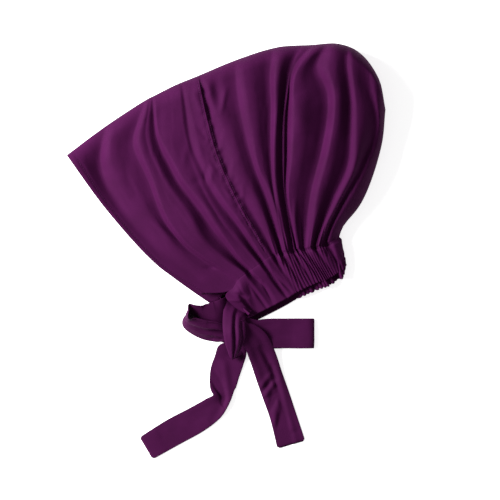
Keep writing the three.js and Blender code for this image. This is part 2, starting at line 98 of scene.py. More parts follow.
# The pleats of the upper side, as lines that the cloth falls to and rises from in turn.
# For each line, eight places along the casing say where it runs at these ways from the
# foot of the casing to the crown, and eight heights say how high it stands there in
# millimetres. The cloth rises steeply towards the face edge's side of a pleat and falls
# slowly on its other side.
PLEAT_WAYS = [-1.0, -0.5, 0.0, 0.2, 0.4, 0.65, 0.85, 1.0]
PLEATS = {
    "face_edge": ([0, 0, 0, 0, 0, 0, 0, 0],
                  [0, 0, 0, 0, 0, 0, 0, 0]),
    "corner_dip": ([0.05, 0.05, 0.05, 0.05, 0.04, 0.038, 0.054, 0.1],
                   [0, 0, 0, -0.4, -1.6, -3, -6.8, -5]),
    "corner_fold": ([0.08, 0.08, 0.08, 0.085, 0.1, 0.09, 0.09, 0.13],
                    [0, 0, 0, 0.2, 0.6, 0.6, 1.2, 0.6]),
    "face_dip": ([0.2, 0.18, 0.16, 0.15, 0.157, 0.174, 0.148, 0.19],
                 [0, -0.3, -0.8, -2.6, -4.6, -3, -3, -1.4]),
    "face_fold": ([0.23, 0.21, 0.195, 0.178, 0.182, 0.203, 0.172, 0.212],
                  [0, 0.5, 1.4, 1.6, 2.4, 2.6, 2.6, 1]),
    "face_shoulder": ([0.3, 0.27, 0.245, 0.22, 0.258, 0.24, 0.196, 0.225],
                      [0.3, 0.8, 2, 2.2, 2.4, 1.4, 1.3, 0.4]),
    "deep_dip": ([0.36, 0.34, 0.278, 0.299, 0.305, 0.289, 0.248, 0.24],
                 [-0.3, -1.6, -5, -5.6, -5.8, -4.8, -2.6, -0.8]),
    "deep_lip": ([0.38, 0.36, 0.3, 0.323, 0.332, 0.312, 0.266, 0.26],
                 [0.2, 0.6, 1.4, 1.6, 1.9, 1.8, 0.8, 0.3]),
    "pucker_fold": ([0.42, 0.4, 0.358, 0.352, 0.358, 0.372, 0.366, 0.362],
                    [0, 0.4, 1, 0.3, -0.5, -0.6, -0.4, 0.2]),
    "pucker_dip": ([0.45, 0.43, 0.392, 0.4, 0.386, 0.388, 0.384, 0.378],
                   [-0.3, -1.2, -4.4, -4.2, -2.6, -1.8, -2, -0.6]),
    "seam_fold": ([0.475, 0.455, 0.42, 0.424, 0.412, 0.414, 0.408, 0.4],
                  [0.3, 0.8, 1.6, 1.6, 1.4, 0.5, 0.3, 0.2]),
    "seam_line": ([0.5, 0.482, 0.458, 0.451, 0.45, 0.45, 0.45, 0.449],
                  [0.3, 0.5, 0.8, 0.8, 0.9, 0.9, 0.9, 0.5]),
    "groove": ([0.53, 0.512, 0.495, 0.48, 0.468, 0.466, 0.464, 0.456],
               [-0.6, -1.6, -2.4, -1.7, -1.6, -2, -2.6, -0.9]),
    "first_pleat": ([0.552, 0.54, 0.526, 0.518, 0.5, 0.502, 0.482, 0.475],
                    [0.2, 0.8, 1.6, 2, 1.6, 2.6, 2, 0.9]),
    "first_dip": ([0.572, 0.566, 0.562, 0.556, 0.542, 0.541, 0.541, 0.545],
                  [-0.5, -1.6, -4.8, -4.2, -3.4, -2.4, -2.4, -1]),
    "second_pleat": ([0.6, 0.6, 0.598, 0.598, 0.566, 0.572, 0.571, 0.575],
                     [0.2, 1.4, 2.4, 2.4, 1.6, 2.8, 2.6, 1.2]),
    "second_dip": ([0.63, 0.62, 0.615, 0.612, 0.629, 0.639, 0.64, 0.645],
                   [0, 0.8, 1.9, 1.9, -3.6, -5, -4.2, -1.5]),
    "third_pleat": ([0.64, 0.63, 0.625, 0.636, 0.648, 0.657, 0.66, 0.672],
                    [0, 0.6, 1.6, 1.6, 2.6, 3.4, 2.8, 1.2]),
    "third_dip": ([0.66, 0.65, 0.66, 0.686, 0.699, 0.7, 0.695, 0.7],
                  [-0.4, -1.2, -4.6, -5, -6.4, -7, -5.6, -2]),
    "sliver": ([0.69, 0.685, 0.682, 0.694, 0.71, 0.712, 0.699, 0.712],
               [0, 1.2, -1.8, -4.2, -3.2, -3, -4.6, -1.4]),
    "sliver_dip": ([0.71, 0.705, 0.7, 0.701, 0.72, 0.719, 0.704, 0.722],
                   [-0.3, -1, -3.4, -4.4, -6, -5.6, -4.6, -1.6]),
    "pouch_lip": ([0.74, 0.728, 0.716, 0.714, 0.737, 0.731, 0.717, 0.746],
                  [0.2, 0.8, 1.4, 2, 3.4, 4.4, 3.8, 1.6]),
    "lobe_dip": ([0.77, 0.762, 0.766, 0.784, 0.799, 0.79, 0.757, 0.765],
                 [-0.3, -1, -3.4, -4.8, -7.6, -7.6, -3.2, -1]),
    "fourth_pleat": ([0.82, 0.812, 0.813, 0.816, 0.829, 0.812, 0.782, 0.79],
                     [0.2, 0.8, 2.2, 3, 3.6, 3.6, 2.6, 1.2]),
    "fourth_dip": ([0.838, 0.838, 0.845, 0.874, 0.896, 0.871, 0.838, 0.832],
                   [-0.4, -1.2, -4.2, -4.2, -4.6, -4.2, -2.6, -1]),
    "fifth_pleat": ([0.868, 0.87, 0.876, 0.9, 0.922, 0.9, 0.866, 0.86],
                    [0.2, 0.8, 2, 2.8, 3, 2.8, 1.8, 0.8]),
    "fifth_dip": ([0.925, 0.925, 0.924, 0.921, 0.95, 0.966, 0.93, 0.922],
                  [-0.6, -2.4, -4, -3.2, -3.2, -3.4, -1.8, -0.6]),
    "sixth_pleat": ([0.962, 0.962, 0.952, 0.948, 0.968, 0.985, 0.958, 0.955],
                    [0.2, 1, 1.4, 1.2, 1.2, 1.4, 1.2, 0.5]),
    "centre_back": ([1, 1, 1, 1, 1, 1, 1, 1],
                    [0, 0, 0, 0, 0, 0, 0, 0]),
}

# Short creases. Each row gives the place along the casing and the way up the cloth where
# one starts, the same where it ends, and its half width and height in millimetres. A
# crease that sinks has a height below 0.
CREASES = [
    # Soft hollows of the face panel.
    (0.12, 0.145, 0.16, 0.11, 3, -1),
    (0.06, 0.36, 0.062, 0.13, 5, -0.8),
    # Folds that pull at the seam from the face panel.
    (0.388, 0.47, 0.424, 0.55, 3.5, 0.9),
    (0.38, 0.5, 0.415, 0.58, 3, -0.9),
    (0.409, 0.71, 0.402, 0.62, 4.5, 0.9),
    (0.335, 0.52, 0.378, 0.52, 5, -0.8),
    # The pucker beside the seam, near the crown.
    (0.497, 0.95, 0.494, 0.83, 4.5, -2.6),
    (0.496, 0.79, 0.516, 0.88, 3, 1.4),
    # The pouch's lip.
    (0.738, 0.66, 0.752, 0.5, 4.5, 1.6),
    (0.738, 0.2, 0.716, 0.045, 2.6, 1.2),
    # The casing towards the knot, from its top to its foot.
    (0.257, -0.3, 0.32, -1.05, 2.6, -1.9),
    (0.27, -0.3, 0.335, -1.0, 3.4, 0.9),
    (0.405, -0.36, 0.462, -1.05, 2.4, -2.4),
    (0.435, -0.38, 0.492, -0.9, 2.2, -1.7),
    (0.345, -0.45, 0.372, -0.92, 2.4, -1.6),
    (0.15, -0.42, 0.21, -1.0, 3, -1.7),
    (0.2, -0.78, 0.24, -1.05, 2.4, -1.3),
    (0.1, -0.15, 0.2, -0.52, 2.8, -2.4),
    (0.24, -0.26, 0.242, -0.58, 3.2, -0.9),
    # The casing over its elastic.
    (0.505, -0.02, 0.5, -0.25, 2.6, -1.8),
    (0.56, 0.06, 0.555, -0.12, 2.6, -1.6),
    (0.645, 0.04, 0.62, -0.22, 2.4, -1.8),
    (0.7, 0.02, 0.694, -0.2, 2.2, -1.5),
    (0.9, -0.2, 0.89, -0.42, 2, -1.2),
    (0.54, -0.1, 0.53, -0.28, 2.2, 1.2),
    (0.925, 0.02, 0.927, -0.75, 2, -1.4),
    # The casing's end where it arcs over the knot.
    (0.08, -0.3, 0.15, -0.5, 2.2, 1.4),
    (0.14, -0.44, 0.185, -0.95, 2.4, 1),
    (0.08, -0.5, 0.145, -0.95, 2.2, -1.4),
    (0.13, -0.2, 0.19, -0.62, 1.6, -0.7),
    (0.18, -0.56, 0.21, -1.05, 1.6, -0.6),
    # Drag lines along the seam's thread.
    (0.43, 0.93, 0.44, 0.84, 3.2, 0.9),
    (0.475, 0.8, 0.455, 0.74, 3, 0.8),
    (0.42, 0.78, 0.44, 0.7, 3, -0.8),
    (0.48, 0.68, 0.462, 0.6, 3, 0.9),
    (0.43, 0.6, 0.442, 0.52, 3, -0.8),
    (0.484, 0.52, 0.466, 0.44, 3, 0.9),
    (0.43, 0.42, 0.445, 0.34, 2.6, 0.8),
    (0.49, 0.38, 0.47, 0.3, 2.6, 0.8),
    # Broad soft folds of the face panel.
    (0.34, 0.62, 0.37, 0.7, 4.5, 0.8),
    (0.25, 0.55, 0.268, 0.4, 5, -0.7),
    (0.1, 0.45, 0.14, 0.3, 6, 0.7),
    (0.105, 0.62, 0.12, 0.78, 5, -0.7),
]

# The routes of the two ties through the bow. x and y are shares of the bow's reach from
# the knot and z of the knot's height, wide is a share of the tie's width, heading and tip
# turn its width in plan and out of it, in degrees, and crease, bow and ridge are how far
# its middle sinks, its middle stands up and its pleats stand up, in millimetres.
TIE_COLUMNS = ["x", "y", "z", "wide", "heading", "tip", "crease", "bow", "ridge"]
LEFT_LOOP_TIE = [
    [-0.06, 0.2, 0.16, 0.95, 108, 6, 0.5, 0, 0],
    [-0.12, 0.17, 0.46, 0.92, 96, 12, 0, 1, 0],
    [-0.21, 0.135, 0.5, 0.94, 92, 18, 0, 4, 0],
    [-0.34, 0.125, 0.44, 0.94, 94, 36, 0, 4, 0],
    [-0.472, 0.165, 0.42, 0.92, 112, 50, 0, 1, 0],
    [-0.504, 0.135, 0.47, 0.9, 44, 80, 0, 0, 0],
    [-0.486, 0.06, 0.46, 0.92, 76, 58, 0, 1, 0],
    [-0.33, -0.01, 0.4, 0.96, 80, 48, 0, 1.5, 0.4],
    [-0.21, -0.03, 0.42, 0.88, 84, 42, 0.4, 0, 1],
    [-0.11, -0.055, 0.34, 0.7, 76, 32, 0.6, 0, 1],
    [-0.05, -0.12, 0.2, 0.6, 30, 16, 1, 0, 0],
    [-0.05, -0.21, 0.13, 0.98, 0, 4, 1.6, 0, 0],
    [-0.08, -0.32, 0.07, 1.0, -8, 0, 1, 0, 0],
    [-0.12, -0.44, 0.05, 1.0, -12, 0, 0.6, 0, 0],
    [-0.143, -0.58, 0.06, 0.88, -8, 0, 1, 0, 0],
    [-0.155, -0.7, 0.12, 0.62, -30, 0, 2.4, 0, 0],
    [-0.24, -0.8, 0.07, 0.8, -54, 0, 1.2, 0, 0],
    [-0.4, -0.91, 0.035, 0.9, -62, 0, 0.3, 0, 0],
    [-0.64, -1.04, 0.03, 0.92, -60, 0, 0, 0, 0],
    [-0.91, -1.2, 0.03, 0.86, -52, 0, 0, 0, 0],
]
RIGHT_LOOP_TIE = [
    [0.01, 0.23, 0.34, 0.96, -48, 0, 0, 0, 0.3],
    [-0.025, 0.14, 0.56, 0.78, -22, 0, 0, 2, 0.3],
    [-0.03, 0.03, 0.7, 0.76, -6, 0, 0, 3, 0.3],
    [-0.025, -0.08, 0.7, 0.72, 8, 0, 0, 3, 0.3],
    [-0.03, -0.19, 0.54, 0.52, 14, 0, 0, 2, 0.2],
    [-0.036, -0.29, 0.3, 0.2, 6, 0, 0, 1, 0],
    [0.02, -0.22, 0.16, 0.36, -40, 0, 0, 0, 0],
    [0.07, -0.1, 0.1, 0.8, -70, 0, 0, 0, 0],
    [0.15, -0.07, 0.05, 0.9, -84, 0, 0, 0, 0],
    [0.3, -0.055, 0.035, 1.0, -90, 0, 0, 0, 0],
    [0.56, -0.05, 0.03, 1.0, -90, 0, 0, 0, 0],
    [0.72, -0.05, 0.03, 1.0, -90, 0, 0, 0, 0],
    [0.765, -0.05, 0.11, 1.0, -90, 0, 0, 0, 0],
    [0.72, -0.05, 0.21, 1.0, -90, 0, 0, 0, 0],
    [0.54, -0.05, 0.22, 1.0, -90, 0, 0.2, 0, 0],
    [0.34, -0.045, 0.28, 0.96, -90, 0, 0.6, 0, 0],
    [0.18, -0.04, 0.36, 0.84, -90, 0, 0.6, 0, 0.5],
    [0.06, -0.01, 0.44, 0.86, -90, 0, 0, 0, 0.3],
    [0.03, -0.01, 0.52, 0.76, -90, 0, 0, 0, 0],
    [0.06, -0.03, 0.57, 0.66, -94, 0, 0, 0, 0.3],
    [0.13, -0.07, 0.52, 0.78, -112, 0, 0.4, 0, 0.3],
    [0.2, -0.15, 0.42, 0.87, -138, 0, 0.6, 0, 0.25],
    [0.262, -0.3, 0.22, 0.9, -158, 0, 0.6, 0, 0.2],
    [0.318, -0.47, 0.1, 0.9, -163, 0, 0.6, 0, 0.3],
    [0.385, -0.66, 0.05, 0.9, -164, 0, 0.6, 0, 0.3],
    [0.46, -0.88, 0.04, 0.89, -163, 0, 0.6, 0, 0.2],
    [0.542, -1.165, 0.035, 0.97, -165, 0, 0.4, 0, 0],
]

# Short creases of the ties. Each row gives the row of the route and the share of the half
# width where one starts, the same where it ends, its half width as a share of the tie's,
# and its height in millimetres.
LEFT_TIE_CREASES = [
    (13.9, -1, 16.5, 0.5, 0.28, -5.5),
    (13, -0.3, 15.8, 0.6, 0.3, 1.8),
    (15.6, 0.2, 17.6, 0.7, 0.3, -1),
    (11.2, 0.1, 13, 0.5, 0.3, -1.2),
    (6.2, 0.45, 10.5, 0.35, 0.22, 1.2),
    (7.2, 0.0, 10.5, 0.1, 0.2, -1.6),
    (19.3, -1, 19.3, 1, 0.1, -0.8),
    (19.7, -1, 19.7, 1, 0.3, 0.5),
]
RIGHT_TIE_CREASES = [
    (1.4, 0.06, 6.2, -0.05, 0.12, -3),
    (1.8, -0.5, 6.4, -0.4, 0.4, 1.4),
    (2, 0.34, 5.8, 0.4, 0.2, 1),
    (2.2, 0.66, 5.6, 0.7, 0.12, -2),
    (22.2, -0.05, 24.4, -0.46, 0.2, -2.2),
    (23.4, -0.42, 27.4, 0.03, 0.1, -3.4),
    (23.6, -0.72, 27.2, -0.34, 0.2, 1.2),
    (23.9, -0.1, 24.5, 0.9, 0.3, 1.3),
    (24.2, -0.15, 24.75, 0.9, 0.25, -1.2),
    (24.4, -0.2, 25.0, 0.85, 0.3, 1.7),
    (24.9, 0, 25.7, 0.9, 0.28, -1.4),
    (25.2, -0.05, 26.3, 0.85, 0.3, 1.7),
    (25.8, 0.05, 26.8, 0.8, 0.25, -1.4),
    (26.62, -1, 26.62, 1, 0.06, -0.7),
    (14.8, 0.3, 17.2, -0.2, 0.25, -0.8),
    (15.6, -0.6, 17.5, -0.5, 0.25, -0.7),
]
KNOT_AT = (0.535, 1.012)  # shares of the cap's length and height from its top left


def unit(v):
    """The same directions with a length of 1."""
    return v / (np.linalg.norm(v, axis=-1, keepdims=True) + 1e-12)


def smooth(value):
    """Rises smoothly from 0 to 1 while the value does."""
    value = np.clip(value, 0, 1)
    return value * value * (3 - 2 * value)


def mix(low, high, share):
    """A value that goes from low to high as the share goes from 0 to 1."""
    return low + (high - low) * share


def curve_through(knots, values, at):
    """A smooth curve through the values at the knots, its slopes taken from the neighbours.

    values is one row for each knot, each a number or an array as long as at."""
    knots = np.asarray(knots, float)
    at = np.asarray(at, float)
    values = [np.broadcast_to(np.asarray(v, float), at.shape) for v in values]
    last = len(knots) - 1
    slopes = []
    for k in range(len(knots)):
        before, after = max(k - 1, 0), min(k + 1, last)
        slopes.append((values[after] - values[before]) / (knots[after] - knots[before]))
    out = np.empty(at.shape)
    span_of = np.clip(np.searchsorted(knots, at, side="left") - 1, 0, last - 1)
    for k in range(last):
        here = span_of == k
        span = knots[k + 1] - knots[k]
        t = np.clip((at[here] - knots[k]) / span, 0, 1)
        rise = t * t * (3 - 2 * t)
        out[here] = (values[k][here] * (1 - rise) + values[k + 1][here] * rise
                     + span * (slopes[k][here] * t * (1 - t) ** 2 - slopes[k + 1][here] * t * t * (1 - t)))
    return out


def soft_noise(x, y, seed, cells=61):
    """Smooth noise between -1 and 1 that is the same each run, one bump to each unit."""
    lattice = np.random.RandomState(seed).uniform(-1, 1, (cells, cells))
    column, row = np.floor(x).astype(int), np.floor(y).astype(int)
    across, up = smooth(x - column), smooth(y - row)
    column, row = column % cells, row % cells
    right, above = (column + 1) % cells, (row + 1) % cells
    return mix(mix(lattice[column, row], lattice[right, row], across),
               mix(lattice[column, above], lattice[right, above], across), up)


def section_values(at):
    """Everything that the section table says at places along the casing."""
    return {name: curve_through(SECTIONS[:, 0], SECTIONS[:, k], at)
            for k, name in enumerate(SECTION_COLUMNS) if k}


FOLD_KNOTS = [0, 1 / 3, 2 / 3, 1]


def plan(at, way, layer):
    """The place in plan at shares of the way along the casing and up a fold."""
    s = section_values(at)
    x = curve_through(FOLD_KNOTS, [s["rim_x"], s["low_x"], s["high_x"], s["crown_x"]], way)
    y = curve_through(FOLD_KNOTS, [s["rim_y"], s["low_y"], s["high_y"], s["crown_y"]], way)
    down = np.clip(-way, 0, 1)
    x = np.where(way < 0, mix(s["rim_x"], s["foot_x"], down), x)
    y = np.where(way < 0, mix(s["rim_y"], s["foot_y"], down), y)
    below = layer < 0
    corner = smooth(1 - at / CASING_FROM) * smooth(1 - way / CORNER_FADE) * CORNER_SHIFT * math.sqrt(0.5)
    corner = np.where(below & (way >= 0), corner, 0)
    casing = np.where(below & (way < 0), CASING_SHIFT * smooth((1 - at) / BACK_TURN) * down, 0)
    pinch = PINCH * smooth((at - PINCH_FROM) / (1 - PINCH_FROM)) * np.exp(
        -((way - PINCH_WAY) / PINCH_SPREAD) ** 2)
    return CAP_LEFT + CAP_LENGTH * x + corner - pinch, CAP_TOP - CAP_HEIGHT * y - corner - casing


STEP = 1e-3


def plan_steps(at, way, layer):
    """Unit steps in plan towards the centre back and towards the crown."""
    def between(a, b):
        x, y = b[0] - a[0], b[1] - a[1]
        length = np.hypot(x, y) + 1e-12
        return x / length, y / length
    along = between(plan(np.maximum(at - STEP, 0), way, layer), plan(np.minimum(at + STEP, 1), way, layer))
    low = np.where(way < 0, np.maximum(way - STEP, -1), np.maximum(way - STEP, 0))
    high = np.where(way < 0, np.minimum(way + STEP, -STEP / 2), np.minimum(way + STEP, 1))
    return along, between(plan(at, low, layer), plan(at, high, layer))


# The shares of a pleat's rise, and of its fall, that round off its valley and its crest.
VALLEY_EASE = 0.25
CREST_EASE = 0.72
FALL_CREST_EASE = 0.42
FALL_VALLEY_EASE = 0.25
PLACE_NOISE = 0.0022  # how unevenly the pleats' lines run, along the casing
HEIGHT_NOISE = 0.16  # how unevenly they rise, as a share
LEAST_PLEAT = 0.002  # along the casing
CASING_FLATTENS = 0.45  # how much of the pleats' height the elastic casing takes up
FLATTEN_REACH = 0.35
FLATTEN_EASE = 0.06


def ramp(t, ease_in, ease_out):
    """A straight rise from 0 to 1 with its two ends rounded."""
    steep = 1 / (1 - ease_in / 2 - ease_out / 2)
    start = steep * t * t / (2 * ease_in)
    end = 1 - steep * (1 - t) ** 2 / (2 * ease_out)
    return np.where(t < ease_in, start, np.where(t > 1 - ease_out, end, steep * (t - ease_in / 2)))


def pleats(at, way):
    """How far the pleats lift the cloth from its mean height, in metres."""
    lines, heights = [], []
    for k, (places, rises) in enumerate(PLEATS.values()):
        line = curve_through(PLEAT_WAYS, places, way)
        rise = curve_through(PLEAT_WAYS, rises, way)
        if 0 < k < len(PLEATS) - 1:
            line = line + PLACE_NOISE * soft_noise(way * 7 + 3 * k, way * 0 + k, seed=21)
            rise = rise * (1 + HEIGHT_NOISE * soft_noise(way * 6 + 5 * k, way * 0 + k, seed=22))
            line = np.maximum(line, lines[-1] + LEAST_PLEAT)
        lines.append(line)
        heights.append(rise)
    out = np.zeros(at.shape)
    for left, right, low, high in zip(lines, lines[1:], heights, heights[1:]):
        t = np.clip((at - left) / (right - left), 0, 1)
        rising = ramp(t, VALLEY_EASE, CREST_EASE)
        falling = 1 - ramp(1 - t, FALL_VALLEY_EASE, FALL_CREST_EASE)
        here = (at >= left) & (at < right)
        out = np.where(here, low + (high - low) * np.where(high > low, rising, falling), out)
    on_elastic = smooth((at - ELASTIC_AT) / FLATTEN_EASE)
    flattened = CASING_FLATTENS * smooth(-way / FLATTEN_REACH) * on_elastic
    return out * MM * (1 - flattened)


# Millimetres to one whole way: along the casing's top, along the cloth higher up, down the
# casing and up the cloth.
RIM_SCALE, WIDE_SCALE = 165, 280
CASING_SCALE, UP_SCALE = 47, 205
WIDE_FROM = 0.5
CREASE_SHARPNESS = 1.4
CREASE_TAPER = 0.12  # how far into its fade a crease starts and ends


def creases(at, way):
    """The short creases, in metres."""
    out = np.zeros(at.shape)
    along = mix(RIM_SCALE, WIDE_SCALE, smooth(way / WIDE_FROM))
    height = way * np.where(way < 0, CASING_SCALE, UP_SCALE)
    for at_0, way_0, at_1, way_1, half, rise in CREASES:
        low, high = (w * (CASING_SCALE if w < 0 else UP_SCALE) for w in (way_0, way_1))
        x, y = (at - at_0) * along, height - low
        run, up = (at_1 - at_0) * along, high - low
        share = np.clip((x * run + y * up) / (run * run + up * up), 0, 1)
        off = np.hypot(x - share * run, y - share * up) / half
        fade = np.sin(math.pi * mix(CREASE_TAPER, 1 - CREASE_TAPER, share))
        out += rise * np.exp(-off * off * CREASE_SHARPNESS) * fade
    return out * MM


RUCHES = 25
RUCHE_SHARE = 0.75
FINE_RUCHES = 2.1  # how many times as many small ones lie among them
FINE_RUCHE_SHARE = 0.22
RUCHE_HEIGHT = 0.78 * MM
RUCHE_SLANT = 0.045
RUCHES_AT = 0.49
RUCHE_FADE = 0.16  # how far up the cloth they die out
SCALLOPS = 16
FRILL_WAVE = 1.8 * MM
FRILL_RISE = 8.5 * MM  # how far the casing's free edge stands up on the table side
FRILL_FROM = 0.55
FRILL_EASE = 0.2


def ruches(at, way):
    """The small pleats that the elastic draws up, between -1 and 1, and how strong they are there."""
    slanted = (at - RUCHE_SLANT * np.minimum(way, 0) - SEAM_AT) / (1 - SEAM_AT)
    drift = 0.5 * soft_noise(at * 22, way * 1.6 + 7, seed=5)
    wave = np.sin(2 * math.pi * (RUCHES * slanted + drift))
    fine = np.sin(2 * math.pi * (RUCHES * FINE_RUCHES * slanted + 2 * drift + 0.3))
    uneven = 0.7 + 0.5 * soft_noise(at * 30, way * 2.2, seed=6)
    strength = smooth((at - RUCHES_AT) / ELASTIC_EASE) * uneven
    return RUCHE_SHARE * wave + FINE_RUCHE_SHARE * fine, strength * (1 - smooth(way / RUCHE_FADE))


def scallops(at):
    """The rounded waves of the casing's free edge, between -1 and 1."""
    along = SCALLOPS * (at - SEAM_AT) / (1 - SEAM_AT) + 0.8 * soft_noise(at * 16, 0 * at + 3, seed=7)
    return 2 * np.abs(np.sin(math.pi * along)) - 1


SMALL_WRINKLE = 0.2 * MM
SMALLEST_WRINKLE = 0.08 * MM
BROAD_WRINKLE = 0.6 * MM
SEAM_REACH = 0.05  # how far from the seam the cloth is more crumpled


def wrinkles(at, way):
    """Fine creases along the pleats and broad unevenness, in metres."""
    fine = (SMALL_WRINKLE * soft_noise(at * 40, way * 9, seed=11)
            + SMALLEST_WRINKLE * soft_noise(at * 90, way * 22, seed=12))
    fine = fine * (1 + np.exp(-((at - SEAM_AT) / SEAM_REACH) ** 2))
    broad = BROAD_WRINKLE * soft_noise(at * 13, way * 4, seed=13)
    return (fine + broad) * smooth((way + 0.15) / 0.3)


CASING_DROP = 0.42  # the share of its height that the cloth loses down the casing
CASING_DROP_EASE = 0.2
TUBE_RISE = 1.6 * MM
TUBE_FROM = 0.08
STITCH_SINK = 1.4 * MM
STITCHED_WAY = -0.07
STITCH_SPREAD = 0.05
KNOT_LIFT = 5 * MM
KNOT_LIFT_REACH = 0.12
KNOT_LIFT_EASE = 0.35
ARC_REACH = 0.055  # how far the casing curls over the knot, along itself


def casing_profile(at, way):
    """The casing's own profile: stitched down along its top, full over its elastic, low at its foot."""
    down = np.clip(-way, 0, 1)
    on_elastic = smooth((at - ELASTIC_AT) / ELASTIC_EASE)
    tube = TUBE_RISE * np.sin(math.pi * np.clip((down - TUBE_FROM) / (1 - TUBE_FROM), 0, 1))
    stitched = STITCH_SINK * np.exp(-((way - STITCHED_WAY) / STITCH_SPREAD) ** 2)
    by_knot = (1 - smooth((at - CASING_FROM) / KNOT_LIFT_REACH)) * smooth(2 * at / CASING_FROM)
    return on_elastic * (tube - stitched) + KNOT_LIFT * by_knot * smooth(down / KNOT_LIFT_EASE)


HEM_WIDTH = 0.013  # along the casing
HEM_RISE = 0.35 * MM
HEM_STITCHED_AT = 1.1  # its stitches' place in hem widths
HEM_SINK_SPREAD = 0.25


def hem_profile(at):
    """The turned hem of the face edge, doubled and stitched down along its inner side."""
    off = at / HEM_WIDTH
    doubled = 1 - smooth((off - 0.8) / 0.4)
    stitched = np.exp(-((off - HEM_STITCHED_AT) / HEM_SINK_SPREAD) ** 2)
    return HEM_RISE * (doubled - stitched)


EDGE_CURL = 1.8 * MM  # how far the face edge stands up, and how far along the casing it does
EDGE_REACH = 0.042
EDGE_CURL_FROM = 0.2
EDGE_CURL_EASE = 0.4

SEAM_WIDTH = 0.012  # along the casing
SEAM_RISE = 0.5 * MM
SEAM_ROWS = {"face": -0.25, "back": 0.75}  # its two rows of stitches' places in seam widths
SEAM_SINK = 0.4 * MM
SEAM_SINK_SPREAD = 0.2
PUCKER = 0.7 * MM


def seam_profile(at, way):
    """The seam between the panels: its doubled allowance, stitched down, and the puckers of its thread."""
    off = (at - SEAM_AT) / SEAM_WIDTH
    allowance = SEAM_RISE * (smooth(off * 4 + 0.5) - smooth(off * 3 - 2.4))
    stitched = SEAM_SINK * sum(np.exp(-((off - row) / SEAM_SINK_SPREAD) ** 2) for row in SEAM_ROWS.values())
    gather = PUCKER * soft_noise(way * 46, off * 0.8 + 30, seed=41) * np.exp(-((off - 0.4) / 1.5) ** 2)
    return (allowance - stitched + gather) * smooth(way / 0.05)


def wall(at, way, layer):
    """Where the cloth lies, for arrays of places. layer is 1 on the upper side and -1 on the table side."""
    s = section_values(at)
    along, up = plan_steps(at, way, layer)
    way_up = np.clip(way, 0, 1)
    over_back = np.clip((at - 1 + BACK_TURN) / BACK_TURN, 0, 1)
    over_crown = np.clip((way - 1 + CROWN_TURN) / CROWN_TURN, 0, 1)
    spread = np.sqrt(1 - over_back ** 2) * np.sqrt(1 - over_crown ** 2)
    fold = CAP_PUFF * mix(s["rim_fold"], s["crown_fold"], way_up)
    wave, strength = ruches(at, way)
    ruche = RUCHE_HEIGHT * wave * strength
    rise = CAP_PUFF * curve_through(
        FOLD_KNOTS, [s["rim_rise"], s["low_rise"], s["high_rise"], s["high_rise"]], way_up)
    rise = rise * (1 - CASING_DROP * smooth(-way) * smooth(at / CASING_DROP_EASE))
    edge_curl = (1 - smooth(at / EDGE_REACH)) * smooth((way - EDGE_CURL_FROM) / EDGE_CURL_EASE)
    rise = rise + EDGE_CURL * edge_curl
    outside = (rise + pleats(at, way) + creases(at, way) + wrinkles(at, way)
               + casing_profile(at, way) + hem_profile(at) + seam_profile(at, way) + ruche)
    upper = fold + (outside - fold) * spread
    elastic = smooth((at - SEAM_AT) / BACK_TURN)
    raised = (RUCHE_HEIGHT * strength + ruche) / 2 * elastic
    lower = fold - (fold - raised - TABLE_GAP) * spread
    above = layer > 0
    x, y = plan(at, way, layer)
    aside = ruche * (1 - spread)
    edge = np.where(above, wave, scallops(at))
    frill = (edge + 0.4) * strength * smooth(-way * 1.6 - 0.6)
    standing = strength * smooth((-way - FRILL_FROM) / FRILL_EASE) * spread
    lower = lower + (FRILL_RISE + FRILL_WAVE * edge) * standing
    out = frill * np.where(above, RUCHE_HEIGHT, FRILL_WAVE)
    return np.stack([x + along[0] * aside - up[0] * out, y + along[1] * aside - up[1] * out,
                     np.maximum(np.where(above, upper, lower), TABLE_GAP)], axis=1)


def deselect():
    """Leaves nothing selected."""
    bpy.ops.object.select_all(action="DESELECT")


def take(piece):
    """Makes one piece the only selected and active one."""
    deselect()
    piece.select_set(True)
    bpy.context.view_layer.objects.active = piece


def grid_piece(name, columns, rows, shape):
    """A grid of cloth whose points shape() puts in place from their column and row numbers.

    shape() gives the places and each point's distance across and along the flat cloth."""
    deselect()
    bpy.ops.mesh.primitive_grid_add(x_subdivisions=columns, y_subdivisions=rows, size=1.0)
    piece = bpy.context.active_object
    piece.name = piece.data.name = name
    flat = np.empty(len(piece.data.vertices) * 3)
    piece.data.vertices.foreach_get("co", flat)
    flat = flat.reshape(-1, 3)
    column = np.rint((flat[:, 0] + 0.5) * columns).astype(int)
    row = np.rint((flat[:, 1] + 0.5) * rows).astype(int)
    places, cut = shape(column, row)
    piece.data.vertices.foreach_set("co", places.ravel())
    corners = np.empty(len(piece.data.loops), int)
    piece.data.loops.foreach_get("vertex_index", corners)
    piece.data.uv_layers[0].name = "cloth"
    piece.data.uv_layers[0].data.foreach_set("uv", cut[corners].ravel())
    piece.data.update()
    return piece


def merge_doubles(piece, distance=1e-6):
    """Joins the points of a piece that lie in one place."""
    take(piece)
    bpy.ops.object.mode_set(mode="EDIT")
    bpy.ops.mesh.select_all(action="SELECT")
    bpy.ops.mesh.remove_doubles(threshold=distance)
    bpy.ops.object.mode_set(mode="OBJECT")


def apply_modifier(piece, kind, **settings):
    """Adds one modifier with its settings and applies it."""
    take(piece)
    modifier = piece.modifiers.new(kind.title(), kind)
    for name, value in settings.items():
        setattr(modifier, name, value)
    bpy.ops.object.modifier_apply(modifier=modifier.name)


def thicken(piece, thickness):
    """Gives a sheet its thickness, inwards from the side that shows."""
    apply_modifier(piece, "SOLIDIFY", thickness=thickness, offset=-1.0, use_even_offset=False)


